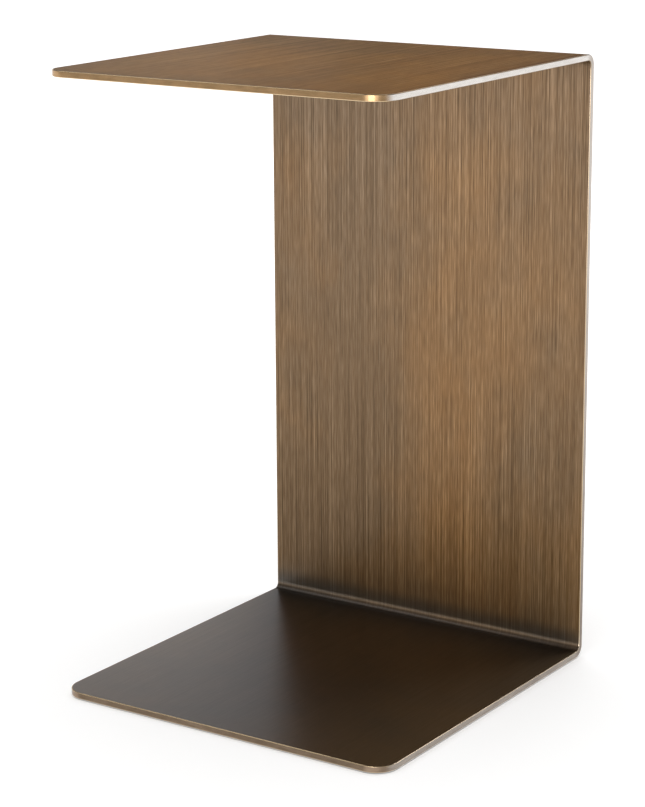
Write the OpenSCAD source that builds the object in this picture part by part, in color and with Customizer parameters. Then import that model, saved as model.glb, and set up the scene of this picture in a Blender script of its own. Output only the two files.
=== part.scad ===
// C-shaped side table: one thick plate folded twice, on four stuck-on felt pads.
// +Z is up. The upright is at the back (+Y), and the top and base reach forward from it (-Y).
// The origin is on the floor, under the middle of the table. All lengths are in millimetres.

/* [Plate] */
// Width of the plate, from side to side
plate_w = 360; // [220:1:600]
// Depth of the top and of the base, from the free edge to the upright's back
plate_d = 364; // [220:1:600]
// Height of the folded plate, from the base's underside to the table top
plate_h = 590; // [300:1:900]
// Thickness of the plate
plate_t = 6; // [4:0.5:10]
// Inside radius of the two folds
fold_inner_r = 5; // [2:0.5:10]
// Radius of the four free corners, seen from above
corner_r = 22; // [12:1:60]
// Width of the broken arris along every edge of the plate
arris = 0.7; // [0.2:0.1:1.5]

/* [Felt pads] */
// Diameter of a felt pad
pad_d = 20; // [10:1:30]
// Thickness of a felt pad
pad_t = 1; // [0.6:0.1:3]
// Distance from a pad's rim to the corner's edge, and to the start of the lower fold
pad_setback = 12; // [6:1:40]
// Thickness of the adhesive disc above each pad
disc_t = 0.2; // [0.1:0.1:0.5]
// How far the adhesive disc stays inside the pad's rim
disc_setback = 0.5; // [0.2:0.1:2]

/* [Hidden] */
// The four places of a pad: its name, then its side along X and along Y
corners = [
    ["front_left", -1, -1],
    ["front_right", 1, -1],
    ["back_left", -1, 1],
    ["back_right", 1, 1],
];

$fn = 96;

// The plate's underside stands on the pads and their adhesive discs
plate_z = pad_t + disc_t;
fold_outer_r = fold_inner_r + plate_t;
// The line of the corners' centres, in front of which the free edge is rounded
corner_y = -plate_d / 2 + corner_r;
// Where the flat of the top and base ends and the fold begins
fold_y = plate_d / 2 - fold_outer_r;

// A pad's centre lies on the bisector of its free corner, one setback inside the corner's arc
pad_r = pad_d / 2;
pad_inset = corner_r - (corner_r - pad_setback - pad_r) * cos(45);
pad_x = plate_w / 2 - pad_inset;
pad_front_y = -plate_d / 2 + pad_inset;
pad_back_y = fold_y - pad_setback - pad_r;

plate_colour = [0.47, 0.38, 0.28];
felt_colour = [0.16, 0.15, 0.14];
adhesive_colour = [0.86, 0.84, 0.78];

// Cross-section of the plate: its width along X, its thickness up from zero, all four arrises broken
module plate_section() {
    polygon([
        [-plate_w / 2 + arris, 0],
        [plate_w / 2 - arris, 0],
        [plate_w / 2, arris],
        [plate_w / 2, plate_t - arris],
        [plate_w / 2 - arris, plate_t],
        [-plate_w / 2 + arris, plate_t],
        [-plate_w / 2, plate_t - arris],
        [-plate_w / 2, arris],
    ]);
}

// Profile of a free edge: it reaches one corner radius out along X, with both arrises broken
module edge_profile() {
    polygon([
        [0, 0],
        [corner_r - arris, 0],
        [corner_r, arris],
        [corner_r, plate_t - arris],
        [corner_r - arris, plate_t],
        [0, plate_t],
    ]);
}

// The free end of a leaf: a straight edge between two rounded corners
module free_end() {
    straight_w = plate_w - 2 * corner_r;
    translate([straight_w / 2, corner_y, 0])
        rotate([90, 0, -90]) linear_extrude(straight_w) edge_profile();
    for (side = [0, 1])
        mirror([side, 0, 0])
            translate([straight_w / 2, corner_y, 0])
                rotate([0, 0, -90]) rotate_extrude(angle = 90) edge_profile();
}

// One leaf of the C with its fold: flat on the XY plane, turning up at the back
module leaf() {
    free_end();
    translate([0, fold_y, 0])
        rotate([90, 0, 0]) linear_extrude(fold_y - corner_y) plate_section();
    translate([0, fold_y, fold_outer_r])
        rotate([0, 90, 0])
            rotate_extrude(angle = 90)
                translate([fold_outer_r, 0]) rotate(90) plate_section();
}

module bent_plate() {
    color(plate_colour)
        translate([0, 0, plate_z])
            union() {
                leaf();
                translate([0, plate_d / 2 - plate_t, fold_outer_r])
                    linear_extrude(plate_h - 2 * fold_outer_r) plate_section();
                translate([0, 0, plate_h]) mirror([0, 0, 1]) leaf();
            }
}

function pad_place(c) = [c[1] * pad_x, c[2] < 0 ? pad_front_y : pad_back_y, 0];

module felt_pad(c) {
    color(felt_colour) translate(pad_place(c)) cylinder(h = pad_t, r = pad_r);
}

module adhesive_disc(c) {
    color(adhesive_colour)
        translate(pad_place(c) + [0, 0, pad_t]) cylinder(h = disc_t, r = pad_r - disc_setback);
}

bent_plate();
for (c = corners) felt_pad(c);
for (c = corners) adhesive_disc(c);
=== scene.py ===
"""C-shaped side table folded from one brushed, bronze-toned plate, standing on four felt pads.

Metres, +Z up. The upright is at the back (+Y), and the top and base reach forward from it (-Y).
"""

import math

import bpy
import numpy as np
from mathutils import Matrix, Vector


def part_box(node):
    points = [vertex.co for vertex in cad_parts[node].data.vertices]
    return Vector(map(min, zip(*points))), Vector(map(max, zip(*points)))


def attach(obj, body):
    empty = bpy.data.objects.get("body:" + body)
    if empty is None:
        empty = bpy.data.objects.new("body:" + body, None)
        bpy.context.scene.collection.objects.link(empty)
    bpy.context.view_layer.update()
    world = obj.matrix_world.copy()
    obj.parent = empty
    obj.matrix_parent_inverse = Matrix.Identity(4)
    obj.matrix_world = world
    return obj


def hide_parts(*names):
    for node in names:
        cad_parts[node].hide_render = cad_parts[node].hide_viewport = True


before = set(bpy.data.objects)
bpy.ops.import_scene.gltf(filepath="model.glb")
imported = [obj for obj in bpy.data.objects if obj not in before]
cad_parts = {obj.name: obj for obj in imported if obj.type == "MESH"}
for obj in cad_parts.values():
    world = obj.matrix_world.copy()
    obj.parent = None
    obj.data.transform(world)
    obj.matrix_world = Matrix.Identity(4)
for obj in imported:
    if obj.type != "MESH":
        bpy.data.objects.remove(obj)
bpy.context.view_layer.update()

# Sizes of the plate that its box doesn't give
PLATE_T = 0.006
FOLD_INNER_R = 0.005
CORNER_R = 0.022
ARRIS_R = 0.0007

# How far past both its ends a fold is shaded as if it still turned, because rubbing softens its borders
FOLD_EASE = 0.003

# Steps of the plate's mesh
CORNER_STEPS = 18
FOLD_STEPS = 24
EASE_STEPS = 3
FLAT_STEPS = 12
ACROSS_STEPS = 16
ARRIS_STEPS = 5

# Degrees round a corner, from free end to long side, where each change of the edge is none and full
SIDE_BEGINS = (50, 75)
# The last two pairs place the painted glint round each corner: it grows over the first and fades over
# the second
GLINT_BEGINS = (0, 12)
GLINT_ENDS = (46, 34)

# Heights between which the plate's finish changes
STREAKS_GROW = (0.006, 0.025)
COAT_THINS = (0.012, 0.04)
COAT_THICKENS = (0.04, 0.57)
TOP_BARES = (0.575, 0.588)
# The edges' painted shade low down fades out between these heights
EDGE_SHADE_FADES = (0.04, 0.45)

# Height up to which the colour ramps run, in shares of it
TONED_HEIGHT = 0.59

# Places along Y between which the long sides' edge passes from the leaves to the upright
EDGE_TURNS_UP = (0.168, 0.175)

# Colour of the arrises round the free ends: rubbed through to bright metal, and painted brighter as a
# highlight
END_ARRIS_WEAR_AND_HIGHLIGHT = (0.78, 0.60, 0.37, 1)

# Distances from the table's middle between which the floor's own white rises to full, and its least
FLOOR_NEAR = 0.6
FLOOR_FAR = 5.0
FLOOR_GLOW = 0.25

# Radius and sides of the floor, and height of the wall round it
FLOOR_R = 30.0
FLOOR_SIDES = 96
WALL_HEIGHT = 4.5

# Brightness of the world, the same for every ray
WORLD_GLOW = 0.15

# Soft boxes: name, azimuth and elevation in degrees, distance, width, height and brightness
SOFTBOXES = (
    ("front_key", 14, 5, 3.4, 3.6, 1.0, 1.6),
    ("front_core", 14, 4, 3.3, 1.5, 0.8, 5.0),
    ("back_left_low", 228, 4, 3.4, 1.3, 0.8, 1.6),
    ("back_left_mid", 226, 17, 3.4, 1.5, 0.9, 0.58),
    ("back_high", 178, 40, 3.4, 3.6, 1.3, 1.95),
    ("left_high", 292, 53, 3.2, 1.6, 1.2, 1.2),
)


# Mesh tools


def new_object(name, points, faces, body="root"):
    """A mesh object from an array of points and an array of faces, riding on a body."""
    mesh = bpy.data.meshes.new(name)
    mesh.from_pydata(points.tolist(), [], faces.tolist())
    mesh.validate()
    obj = bpy.data.objects.new(name, mesh)
    bpy.context.scene.collection.objects.link(obj)
    if body:
        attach(obj, body)
    return obj


def smooth_step(value, start, stop):
    """Share t of the way from start to stop, held between 0 and 1, and eased as 3 t^2 - 2 t^3."""
    t = np.clip((value - start) / (stop - start), 0, 1)
    return t * t * (3 - 2 * t)


def running_length(path):
    """Distance along a path of points from its first to each: the sum of the steps so far."""
    steps = np.linalg.norm(np.diff(path, axis=0), axis=1)
    return np.concatenate([[0], np.cumsum(steps)])


def point_rows(*values):
    """Numbers and arrays of one shape as the columns of a table, a row for each point."""
    return np.stack([v.ravel() for v in np.broadcast_arrays(*values)], -1)


def quads(index):
    """Quads between neighbouring entries of a 2-D table of vertex numbers, row to row."""
    a, b = index[:-1, :-1], index[1:, :-1]
    c, d = index[1:, 1:], index[:-1, 1:]
    return np.stack([a, b, c, d], -1).reshape(-1, 4)


def border(table):
    """A face grid's border, anticlockwise seen from the inner side, starting at the near right."""
    right, far = table[:, -1], table[-1, -2:0:-1]
    left, near = table[::-1, 0], table[0, 1:-1]
    return np.concatenate([right, far, left, near])


def point_attribute(mesh, name, values):
    """A number for each point of a mesh, for its materials to read."""
    layer = mesh.attributes.new(name, "FLOAT", "POINT")
    layer.data.foreach_set("value", values.astype(np.float32))


# Bent plate


def plate_path(low, high):
    """The folded path of the plate's middle surface as a function, its folds' ends and its length.

    The path runs from the base's free edge, back along the base, up the upright and forward along
    the top. At length s its direction turns from 0 through 90 to 180 degrees, by the arc length
    over the mean radius inside each fold, and its place is the sum of the straight lengths and the
    arcs passed so far. The function takes s and the height h over the sheet's outer face, and gives
    y, z and the angle at which the surface is shaded, which turns evenly from FOLD_EASE before each
    fold to FOLD_EASE after it.
    """
    mean_r = FOLD_INNER_R + PLATE_T / 2
    arc = mean_r * math.pi / 2
    leaf = high[1] - low[1] - FOLD_INNER_R - PLATE_T
    rise = high[2] - low[2] - 2 * (FOLD_INNER_R + PLATE_T)
    starts = np.array([leaf, leaf + arc + rise])

    def place(s, h):
        base = np.clip(s, 0, leaf)
        turn_1 = np.clip((s - starts[0]) / mean_r, 0, math.pi / 2)
        up = np.clip(s - leaf - arc, 0, rise)
        turn_2 = np.clip((s - starts[1]) / mean_r, 0, math.pi / 2)
        top = np.clip(s - leaf - 2 * arc - rise, 0, leaf)
        y = low[1] + base + mean_r * (np.sin(turn_1) - 1 + np.cos(turn_2)) - top
        z = low[2] + PLATE_T / 2 + mean_r * (1 - np.cos(turn_1) + np.sin(turn_2)) + up
        angle = turn_1 + turn_2
        lift = h - PLATE_T / 2
        eased = np.clip((s - starts[:, None] + FOLD_EASE) / (arc + 2 * FOLD_EASE), 0, 1)
        return y - lift * np.sin(angle), z + lift * np.cos(angle), eased.sum(0) * math.pi / 2

    return place, (starts, starts + arc), 2 * (leaf + arc) + rise


def corner_angles():
    """Angles round a corner of the blank, from its free end to its long side."""
    return np.linspace(0, math.pi / 2, CORNER_STEPS + 1)


def outline_rows(half_w, length, folds, inset):
    """Half width and length of each row of the flat blank, at a distance inside its outline.

    The blank is a rectangle with round corners: on a corner the half width is the straight part
    plus r sin a and the length is R - r cos a, where r is the corner radius less the inset.
    """
    a = corner_angles()
    r = CORNER_R - inset
    near_x = half_w - CORNER_R + r * np.sin(a)
    near_s = CORNER_R - r * np.cos(a)
    starts, ends = folds
    eased = np.stack([starts - FOLD_EASE, starts, ends, ends + FOLD_EASE], -1).ravel()
    stops = [CORNER_R, *eased, length - CORNER_R]
    steps = [FLAT_STEPS, *[EASE_STEPS, FOLD_STEPS, EASE_STEPS, FLAT_STEPS] * 2]
    runs = [np.linspace(lo, hi, n + 1)[1:] for lo, hi, n in zip(stops, stops[1:], steps)]
    straight = np.concatenate(runs)[:-1]
    x = np.concatenate([near_x, np.full(len(straight), half_w - inset), near_x[::-1]])
    s = np.concatenate([near_s, straight, length - near_s[::-1]])
    return x, s


def edge_profile():
    """Inset, height and angle of the points round the plate's edge, from its inner to its outer face.

    Both arrises are quarter circles of ARRIS_R, so the angle runs from 0, facing the inner side,
    through 90 degrees on the edge to 180, facing the outer side.
    """
    a = np.linspace(0, math.pi / 2, ARRIS_STEPS + 1)
    inset = ARRIS_R * (1 - np.sin(a))
    height = PLATE_T - ARRIS_R * (1 - np.cos(a))
    return (
        np.concatenate([inset, inset[::-1]]),
        np.concatenate([height, PLATE_T - height[::-1]]),
        np.concatenate([a, math.pi - a[::-1]]),
    )


def edge_ring(x, s, share):
    """A ring of points round the blank from its rows, in the order of border()."""
    far = share[-2:0:-1] * x[0]
    ring_x = np.concatenate([x, far, -x[::-1], -far])
    ring_s = np.concatenate([s, np.full(len(far), s[-1]), s[::-1], np.full(len(far), s[0])])
    return ring_x, ring_s


def ring_directions(rows):
    """Outward direction of each point of such a ring, along X and along the length.

    It is (sin a, -cos a) round a near corner at angle a, (1, 0) on the long side between the
    corners, (sin a, cos a) round a far corner, and (0, 1) and (0, -1) on the far and near ends.
    """
    a = corner_angles()
    between = rows - 2 * len(a)
    out_x = np.concatenate([np.sin(a), np.ones(between), np.sin(a[::-1])])
    out_s = np.concatenate([-np.cos(a), np.zeros(between), np.cos(a[::-1])])
    end = np.zeros(ACROSS_STEPS - 1)
    return (
        np.concatenate([out_x, end, -out_x[::-1], end]),
        np.concatenate([out_s, end + 1, out_s[::-1], end - 1]),
    )


def flat_blank(half_w, length, folds):
    """The plate before it is folded: a table of its points, and three tables of their numbers.

    A point's row has its x, s and h, and its outward direction along the three. The tables of
    numbers are the inner face's grid, the outer face's, and the strip round the edge, whose rows
    go through the edge profile from the inner face's border to the outer's.
    """
    share = np.linspace(-1, 1, ACROSS_STEPS + 1)
    x, s = outline_rows(half_w, length, folds, ARRIS_R)
    grid_x, grid_s = np.broadcast_arrays(x[:, None] * share, s[:, None])
    inner = np.arange(grid_x.size).reshape(grid_x.shape)
    outer = inner + grid_x.size
    tables = [point_rows(grid_x, grid_s, PLATE_T, 0, 0, 1), point_rows(grid_x, grid_s, 0, 0, 0, -1)]

    insets, heights, turns = (v[1:-1] for v in edge_profile())
    out_x, out_s = ring_directions(len(x))
    for inset, height, turn in zip(insets, heights, turns):
        ring_x, ring_s = edge_ring(*outline_rows(half_w, length, folds, inset), share)
        side = math.sin(turn)
        tables.append(point_rows(ring_x, ring_s, height, out_x * side, out_s * side, math.cos(turn)))
    rings = 2 * grid_x.size + np.arange(len(insets) * len(out_x)).reshape(len(insets), -1)
    strip = np.vstack([border(inner), rings, border(outer)])
    return np.concatenate(tables), inner, outer, np.concatenate([strip, strip[:, :1]], 1)


def map_sheet(mesh, blank, points, strip, face_count):
    """The plate's UV map in metres: width by length on the faces, profile by rim on the edge."""
    insets, heights, _ = edge_profile()
    loop_point = np.empty(len(mesh.loops), np.int64)
    mesh.loops.foreach_get("vertex_index", loop_point)
    uv = blank[loop_point, :2]

    # The edge's quads come after those of the faces, each with four corners
    across = running_length(np.stack([insets, heights], -1))
    along = running_length(points[strip[len(insets) // 2]])
    u, v = np.meshgrid(across, along, indexing="ij")
    uv[4 * face_count:] = np.stack([quads(u).ravel(), quads(v).ravel()], -1)
    layer = mesh.uv_layers.new(name="sheet")
    layer.data.foreach_set("uv", uv.astype(np.float32).ravel())


def mark_edge_wear_and_painted_light(mesh, strip, rows):
    """Where the edge is worn, and where it has painted highlights, as attributes of its points.

    arris is 1 along both arrises, which are partly worn and partly painted lighter and darker, and 0 on
    the flat of the edge between them. long_side rises from 0 on the free ends to 1 on the long sides.
    corner is 1 in each round corner, where a painted glint brightens it, and falls to 0 at its free end
    and towards its long side.
    """
    turns = edge_profile()[2][1:-1]
    bend = np.degrees(np.arcsin(np.abs(ring_directions(rows)[0])))
    arris, long_side, corner = np.zeros((3, len(mesh.vertices)))
    arris[strip[1:-1][~np.isclose(turns, math.pi / 2)]] = 1
    long_side[strip[:, :-1]] = smooth_step(bend, *SIDE_BEGINS)
    corner[strip[:, :-1]] = smooth_step(bend, *GLINT_BEGINS) * smooth_step(bend, *GLINT_ENDS)
    point_attribute(mesh, "arris", arris)
    point_attribute(mesh, "long_side", long_side)
    point_attribute(mesh, "corner", corner)


def bent_plate(low, high):
    """The plate as one closed mesh: its flat blank, with round arrises, carried along the path."""
    place, folds, length = plate_path(low, high)
    blank, inner, outer, strip = flat_blank((high[0] - low[0]) / 2, length, folds)
    x, s, h, out_x, out_s, out_h = blank.T
    y, z, angle = place(s, h)
    points = np.stack([x + (low[0] + high[0]) / 2, y, z], -1)
    out_y = out_s * np.cos(angle) - out_h * np.sin(angle)
    out_z = out_s * np.sin(angle) + out_h * np.cos(angle)

    face_quads = np.concatenate([quads(inner)[:, ::-1], quads(outer)])
    faces = np.concatenate([face_quads, quads(strip)])
    obj = new_object("bent_plate_brushed", points, faces)
    mesh = obj.data
    map_sheet(mesh, blank, points, strip, len(face_quads))
    mark_edge_wear_and_painted_light(mesh, strip, len(inner))

    # The faces have the first material and the edge the second
    slots = np.zeros(len(faces), np.int32)
    slots[len(face_quads):] = 1
    mesh.polygons.foreach_set("material_index", slots)
    mesh.polygons.foreach_set("use_smooth", np.ones(len(faces), bool))
    mesh.normals_split_custom_set_from_vertices(np.stack([out_x, out_y, out_z], -1).tolist())
    return obj


# Material tools


def material(name):
    """A new node material: itself, its tree and its Principled shader."""
    mat = bpy.data.materials.new(name)
    mat.use_nodes = True
    tree = mat.node_tree
    return mat, tree, tree.nodes["Principled BSDF"]


def node(tree, kind, inputs=None, **settings):
    """A shader node with its settings, its inputs set to values or linked to sockets."""
    made = tree.nodes.new(kind)
    for key, value in settings.items():
        setattr(made, key, value)
    for key, value in (inputs or {}).items():
        if isinstance(value, bpy.types.NodeSocket):
            tree.links.new(value, made.inputs[key])
        else:
            made.inputs[key].default_value = value
    return made


def ramp(tree, fac, stops):
    """A colour ramp over a value, from pairs of place and colour."""
    made = node(tree, "ShaderNodeValToRGB", {"Fac": fac})
    marks = made.color_ramp.elements
    for _ in stops[2:]:
        marks.new(0.5)
    for mark, (place, colour) in zip(marks, stops):
        mark.position = place
        mark.color = (*colour, 1)
    return made.outputs["Color"]


def spread(tree, value, start, stop, to_start=0.0, to_stop=1.0):
    """A value's range from start to stop carried to a new range, and held at its ends."""
    ends = {0: value, 1: start, 2: stop, 3: to_start, 4: to_stop}
    return node(tree, "ShaderNodeMapRange", ends, clamp=True).outputs[0]


def by_height(tree, height, stops):
    """A colour ramp over the height, from pairs of its share of TONED_HEIGHT and colour."""
    return ramp(tree, spread(tree, height, 0.0, TONED_HEIGHT), stops)


def grain(tree, coords, scale, detail=2.0, rough=0.6, shift=0.0):
    """Noise stretched by a scale along each axis of the coordinates, per metre."""
    mapping = {"Vector": coords, "Scale": scale, "Location": (shift, shift, 0)}
    place = node(tree, "ShaderNodeMapping", mapping).outputs[0]
    noise = {"Vector": place, "Scale": 1.0, "Detail": detail, "Roughness": rough}
    return node(tree, "ShaderNodeTexNoise", noise).outputs[0]


def arithmetic(tree, operation, *terms):
    """The result of one arithmetic operation on values."""
    return node(tree, "ShaderNodeMath", dict(enumerate(terms)), operation=operation).outputs[0]


def blend(tree, weights):
    """The sum of values, each times its weight."""
    total = 0.0
    for value, weight in weights:
        total = arithmetic(tree, "MULTIPLY_ADD", value, weight, total)
    return total


def value_between(tree, share, first, second):
    """A number that goes from the first to the second as the share goes from 0 to 1."""
    return node(tree, "ShaderNodeMix", {"Factor": share, 2: first, 3: second}).outputs[0]


def colour_between(tree, share, first, second):
    """A colour that goes from the first to the second as the share goes from 0 to 1."""
    terms = {"Factor": share, 6: first, 7: second}
    return node(tree, "ShaderNodeMix", terms, data_type="RGBA").outputs[2]


def multiply(tree, first, second):
    """Two colours multiplied."""
    terms = {"Factor": 1.0, 6: first, 7: second}
    return node(tree, "ShaderNodeMix", terms, data_type="RGBA", blend_type="MULTIPLY").outputs[2]


def bump(tree, shader, height, distance):
    """Raises a shader's surface by a value times a distance."""
    lift = node(tree, "ShaderNodeBump", {"Height": height, "Strength": 1.0, "Distance": distance})
    tree.links.new(lift.outputs[0], shader.inputs["Normal"])


def brushed_metal(tree, shader, brushing):
    """Makes a shader metal, with highlights drawn out across the sheet map's lines."""
    lines = node(tree, "ShaderNodeTangent", direction_type="UV_MAP", uv_map="sheet")
    tree.links.new(lines.outputs[0], shader.inputs["Tangent"])
    shader.inputs["Metallic"].default_value = 1
    shader.inputs["Anisotropic"].default_value = brushing


# Finishes


def toned_bronze():
    """Brushed plate, toned and lacquered: fine streaks along the sheet under a satin clear coat."""
    mat, tree, shader = material("toned_bronze")
    sheet = node(tree, "ShaderNodeUVMap", uv_map="sheet").outputs[0]
    place = node(tree, "ShaderNodeTexCoord").outputs["Object"]
    height = node(tree, "ShaderNodeSeparateXYZ", {0: place}).outputs["Z"]

    # Streaks: how many a metre across and along the sheet, their detail, shift and weight
    layers = (
        (1350, 1.5, 1.0, 0.0, 0.41),
        (1200, 8, 1.0, 3.0, 0.25),
        (1500, 50, 1.0, 5.0, 0.23),
        (600, 1.4, 1.0, 7.0, 0.06),
        (560, 6, 1.0, 9.0, 0.015),
        (120, 1.2, 1.0, 11.0, 0.02),
        (20, 9, 2.0, 13.0, 0.015),
    )
    streaks = [
        (grain(tree, sheet, (across, along, 1), detail, 0.5, shift), weight)
        for across, along, detail, shift, weight in layers
    ]

    # They are fainter on the base: nearer to the noise's middle value
    keep = spread(tree, height, *STREAKS_GROW, to_start=0.3)
    streak = value_between(tree, keep, 0.5, blend(tree, streaks))
    tone = ramp(
        tree,
        spread(tree, streak, 0.34, 0.66),
        ((0.0, (0.125, 0.066, 0.023)), (0.5, (0.268, 0.153, 0.063)), (1.0, (0.485, 0.317, 0.165))),
    )

    # Colour by height, mostly painted shade and highlight: the base is painted darkest, as shade under
    # the top, the inner fold is painted paler as a highlight, and the band just over it is painted dark
    # as the dark base's reflection. Higher up it is a little lighter, darkens slowly up the upright, and
    # the top is paler again
    painted_shade_by_height = by_height(
        tree,
        height,
        (
            (0.0129, (0.48, 0.60, 0.87)),
            (0.0145, (0.80, 0.88, 1.12)),
            (0.0180, (0.84, 0.92, 1.15)),
            (0.0245, (0.56, 0.71, 1.05)),
            (0.036, (0.62, 0.70, 0.85)),
            (0.052, (1.03, 1.01, 0.97)),
            (0.085, (1.11, 1.07, 1.00)),
            (0.35, (1.02, 1.00, 1.00)),
            (0.93, (0.91, 0.93, 1.03)),
            (0.985, (0.91, 0.93, 1.03)),
            (1.0, (1.06, 1.07, 1.08)),
        ),
    )

    # Slow patches of grey patina
    cloud = grain(tree, place, (5, 5, 3), 2.0, 0.5, 18.6)
    mottle = grain(tree, place, (26, 26, 15), 3.0, 0.6, 4.0)
    patina = spread(tree, blend(tree, ((cloud, 0.75), (mottle, 0.25))), 0.38, 0.62)
    bloom = ramp(tree, patina, ((0.0, (0.79, 0.86, 1.00)), (1.0, (1.10, 1.06, 0.98))))
    colour = multiply(tree, multiply(tree, tone, painted_shade_by_height), bloom)
    rough = spread(tree, streak, 0.37, 0.63, to_start=0.7, to_stop=0.58)
    tree.links.new(colour, shader.inputs["Base Color"])
    tree.links.new(rough, shader.inputs["Roughness"])
    bump(tree, shader, streak, 0.00002)
    brushed_metal(tree, shader, 0.8)
    shader.inputs["Specular Tint"].default_value = (0.32, 0.20, 0.07, 1)

    # The clear coat is thickest on the base, and thinnest on the top, where hands rub it
    upright = spread(tree, height, *COAT_THICKENS, to_start=0.36, to_stop=0.62)
    over_base = value_between(tree, spread(tree, height, *COAT_THINS), 0.92, upright)
    coat = value_between(tree, spread(tree, height, *TOP_BARES), over_base, 0.19)
    tree.links.new(coat, shader.inputs["Coat Weight"])
    shader.inputs["Coat Roughness"].default_value = 0.3
    shader.inputs["Coat IOR"].default_value = 1.5
    return mat


def bare_edge():
    """Linished edge: toned gold round the free ends, pale where the long sides were cut bright, painted
    shade and highlights.
    """
    mat, tree, shader = material("bare_edge")
    sheet = node(tree, "ShaderNodeUVMap", uv_map="sheet").outputs[0]
    place = node(tree, "ShaderNodeTexCoord").outputs["Object"]
    axes = node(tree, "ShaderNodeSeparateXYZ", {0: place})
    height, back = axes.outputs["Z"], axes.outputs["Y"]
    arris, side, corner = (
        node(tree, "ShaderNodeAttribute", attribute_name=name).outputs["Fac"]
        for name in ("arris", "long_side", "corner")
    )
    scratch = grain(tree, sheet, (5200, 60, 1), 2.0, 0.6)
    stain = grain(tree, sheet, (150, 40, 1), 3.0, 0.6, 5.0)
    mark = spread(tree, blend(tree, ((scratch, 0.55), (stain, 0.45))), 0.35, 0.65)
    gold = ramp(tree, mark, ((0.0, (0.190, 0.120, 0.058)), (1.0, (0.370, 0.235, 0.120))))
    end_with_painted_shade = ramp(tree, mark, ((0.0, (0.140, 0.100, 0.066)), (1.0, (0.270, 0.198, 0.138))))
    pale = ramp(tree, mark, ((0.0, (0.55, 0.515, 0.48)), (1.0, (0.76, 0.725, 0.69))))
    side_with_painted_shade = ramp(tree, mark, ((0.0, (0.24, 0.20, 0.17)), (1.0, (0.44, 0.385, 0.335))))

    # The free ends are painted darker on the base, as shade, and gold on the top,
    # and a painted glint makes them brightest at their corners
    rise = spread(tree, height, *EDGE_SHADE_FADES)
    painted_corner_glint = ramp(tree, corner, ((0.0, (1, 1, 1)), (1.0, (1.5, 1.5, 1.55))))
    ends = multiply(tree, colour_between(tree, rise, end_with_painted_shade, gold), painted_corner_glint)

    # The long sides are painted brown low down, as shade, and pale above, and a little darker on the
    # upright
    upright = spread(tree, back, *EDGE_TURNS_UP)
    dark = ramp(tree, upright, ((0.0, (1, 1, 1)), (1.0, (0.72, 0.68, 0.65))))
    sides = multiply(tree, colour_between(tree, rise, side_with_painted_shade, pale), dark)

    # The arrises are partly worn and partly painted: a painted highlight makes them brightest round the
    # free ends and low down, and painted shade makes them darkest along the top's sides
    along = by_height(
        tree,
        height,
        (
            (0.0, (1.00, 0.85, 0.68)),
            (0.04, (0.56, 0.43, 0.27)),
            (0.96, (0.60, 0.47, 0.33)),
            (1.0, (0.21, 0.14, 0.07)),
        ),
    )
    flat = colour_between(tree, side, ends, sides)
    # On the arrises the colour is part wear and part painted highlight and shade
    rubbed = colour_between(tree, side, END_ARRIS_WEAR_AND_HIGHLIGHT, along)
    tree.links.new(colour_between(tree, arris, flat, rubbed), shader.inputs["Base Color"])
    tree.links.new(value_between(tree, mark, 0.16, 0.28), shader.inputs["Roughness"])
    brushed_metal(tree, shader, 0.5)
    return mat


def pressed_felt():
    """Dark pressed felt: matted fibres, seen as fine flecks over a soft bump."""
    mat, tree, shader = material("pressed_felt")
    place = node(tree, "ShaderNodeTexCoord").outputs["Object"]
    fibre = grain(tree, place, (2600, 2600, 900), 4.0, 0.7)
    clump = grain(tree, place, (420, 420, 420), 2.0, 0.5, 4.0)
    nap = blend(tree, ((fibre, 0.65), (clump, 0.35)))
    fleck = spread(tree, nap, 0.3, 0.7)
    tone = ramp(tree, fleck, ((0.0, (0.018, 0.017, 0.016)), (1.0, (0.085, 0.080, 0.074))))
    tree.links.new(tone, shader.inputs["Base Color"])
    bump(tree, shader, nap, 0.0003)
    shader.inputs["Roughness"].default_value = 1
    shader.inputs["Specular IOR Level"].default_value = 0.2
    shader.inputs["Sheen Weight"].default_value = 0.4
    shader.inputs["Sheen Roughness"].default_value = 0.5
    return mat


def adhesive_film():
    """Milky double-sided film: a faint cloud of trapped air in a smooth sheet."""
    mat, tree, shader = material("adhesive_film")
    place = node(tree, "ShaderNodeTexCoord").outputs["Object"]
    air = grain(tree, place, (700, 700, 700), 3.0, 0.6)
    cloud = spread(tree, air, 0.35, 0.7)
    tone = ramp(tree, cloud, ((0.0, (0.70, 0.66, 0.55)), (1.0, (0.82, 0.80, 0.73))))
    tree.links.new(tone, shader.inputs["Base Color"])
    tree.links.new(value_between(tree, cloud, 0.35, 0.5), shader.inputs["Roughness"])
    bump(tree, shader, air, 0.00005)
    return mat


# Stage, lights and camera


def stage_material(name):
    """A new material without its Principled shader: itself, its tree and its surface socket."""
    mat, tree, shader = material(name)
    tree.nodes.remove(shader)
    return mat, tree, tree.nodes["Material Output"].inputs["Surface"]


def shown(tree):
    """1 for rays that show a surface: seen by the camera, mirrored or passed on. Otherwise 0."""
    path = node(tree, "ShaderNodeLightPath")
    seen_or_mirrored = arithmetic(
        tree, "MAXIMUM", path.outputs["Is Camera Ray"], path.outputs["Is Glossy Ray"]
    )
    return arithmetic(tree, "MAXIMUM", seen_or_mirrored, path.outputs["Is Transmission Ray"])


def floor_circle():
    """Points (R cos t, R sin t, 0) round the floor, the first again at the end."""
    turn = np.linspace(0, 2 * math.pi, FLOOR_SIDES + 1)
    return np.stack([FLOOR_R * np.cos(turn), FLOOR_R * np.sin(turn), 0 * turn], -1)


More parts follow.
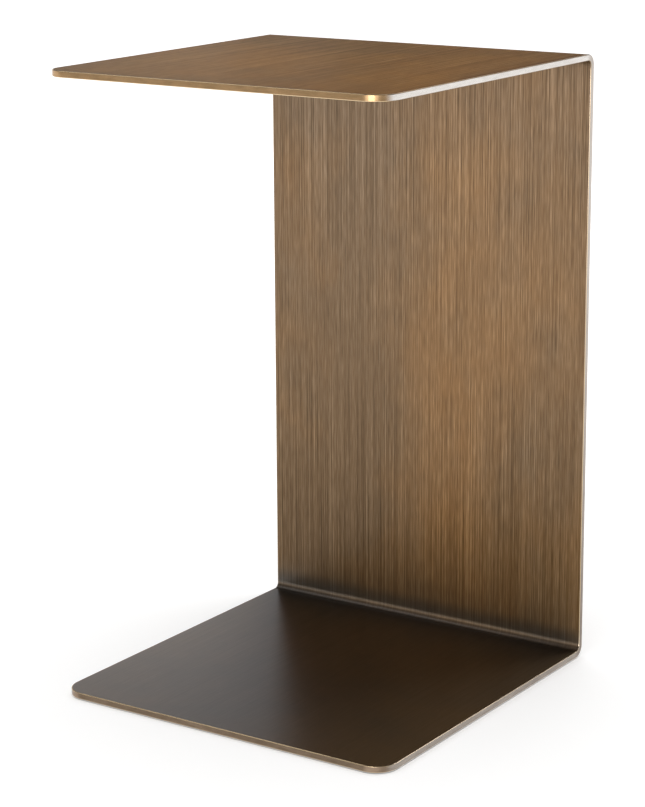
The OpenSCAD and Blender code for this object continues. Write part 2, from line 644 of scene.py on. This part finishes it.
def white_floor():
    """A large flat disc, white to the camera and to reflections, that keeps the table's shadow.

    Its own white grows with the distance from the table, so the shadow stays beside the table and
    the far floor is a plain white.
    """
    floor = new_object("floor", floor_circle()[:-1], np.arange(FLOOR_SIDES)[None], body=None)
    mat, tree, surface = stage_material("floor_white")
    matt = node(tree, "ShaderNodeBsdfDiffuse", {"Color": (0.85, 0.85, 0.85, 1)})
    place = node(tree, "ShaderNodeTexCoord").outputs["Object"]
    away = node(tree, "ShaderNodeVectorMath", {0: place}, operation="LENGTH").outputs["Value"]
    white = spread(tree, away, FLOOR_NEAR, FLOOR_FAR, FLOOR_GLOW, 1.0)
    glow = node(
        tree, "ShaderNodeEmission", {"Strength": arithmetic(tree, "MULTIPLY", shown(tree), white)}
    )
    both = node(tree, "ShaderNodeAddShader", {0: matt.outputs[0], 1: glow.outputs[0]})
    tree.links.new(both.outputs[0], surface)
    floor.data.materials.append(mat)


def white_wall():
    """A round wall far off, white to the camera and to reflections: a circle carried straight up."""
    foot = floor_circle()
    points = np.stack([foot, foot + (0, 0, WALL_HEIGHT)], 1).reshape(-1, 3)
    index = np.arange(len(points)).reshape(-1, 2)
    wall = new_object("wall", points, quads(index)[:, ::-1], body=None)
    mat, tree, surface = stage_material("wall_white")
    glow = node(tree, "ShaderNodeEmission", {"Strength": shown(tree)})
    tree.links.new(glow.outputs[0], surface)
    wall.data.materials.append(mat)


def dim_world():
    """An even, dim white world."""
    world = bpy.data.worlds.new("studio")
    bpy.context.scene.world = world
    world.use_nodes = True
    back = world.node_tree.nodes["Background"]
    back.inputs["Color"].default_value = (1, 1, 1, 1)
    back.inputs["Strength"].default_value = WORLD_GLOW


def softbox(name, azimuth, elevation, distance, width, height, glow):
    """A rectangular light turned to the table's middle, its power pi times its area and its brightness.

    Azimuth runs from the front (-Y) towards the right (+X), in degrees.
    """
    az, el = math.radians(azimuth), math.radians(elevation)
    middle = Vector((0, 0, 0.3))
    out = Vector((math.sin(az) * math.cos(el), -math.cos(az) * math.cos(el), math.sin(el)))
    data = bpy.data.lights.new(name, "AREA")
    data.shape = "RECTANGLE"
    data.size = width
    data.size_y = height
    data.energy = math.pi * glow * width * height
    lamp = bpy.data.objects.new(name, data)
    bpy.context.scene.collection.objects.link(lamp)
    turn = out.to_track_quat("Z", "Y").to_matrix().to_4x4()
    lamp.matrix_world = Matrix.Translation(middle + out * distance) @ turn
    return lamp


def photo_camera():
    """The camera that meets the photograph's edges: place, yaw, pitch, roll, focal length and centre."""
    place = Vector((1.2354, -1.8538, 0.8420))
    yaw, pitch, roll = (math.radians(v) for v in (34.196, 13.947, -0.425))
    focal_px = 2450.0
    centre_px = (304.3, 385.0)
    frame_px = (645, 807)
    ahead = Vector((-math.sin(yaw) * math.cos(pitch), math.cos(yaw) * math.cos(pitch), -math.sin(pitch)))
    level = Vector((math.cos(yaw), math.sin(yaw), 0))
    up = level.cross(ahead)
    right = level * math.cos(roll) + up * math.sin(roll)
    top = up * math.cos(roll) - level * math.sin(roll)
    data = bpy.data.cameras.new("photo_camera")
    data.sensor_width = 36
    data.lens = focal_px * data.sensor_width / frame_px[1]
    data.shift_x = (frame_px[0] / 2 - centre_px[0]) / frame_px[1]
    data.shift_y = (centre_px[1] - frame_px[1] / 2) / frame_px[1]
    camera = bpy.data.objects.new("photo_camera", data)
    bpy.context.scene.collection.objects.link(camera)
    turn = Matrix((right, top, -ahead)).transposed()
    camera.matrix_world = Matrix.Translation(place) @ turn.to_4x4()
    bpy.context.scene.camera = camera


# The table

low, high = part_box("bent_plate")
plate = bent_plate(low, high)
plate.data.materials.append(toned_bronze())
plate.data.materials.append(bare_edge())
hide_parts("bent_plate")

felt, film = pressed_felt(), adhesive_film()
for name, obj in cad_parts.items():
    for kind, finish in (("felt_pad", felt), ("adhesive_disc", film)):
        if name.startswith(kind):
            obj.data.materials.clear()
            obj.data.materials.append(finish)

# The studio

white_floor()
white_wall()
dim_world()
for box in SOFTBOXES:
    softbox(*box)
dome = softbox("dome", 0, 90, 2.9, 5.0, 5.0, 1.7)
dome.visible_glossy = False
photo_camera()

scene = bpy.context.scene
scene.view_settings.view_transform = "Standard"
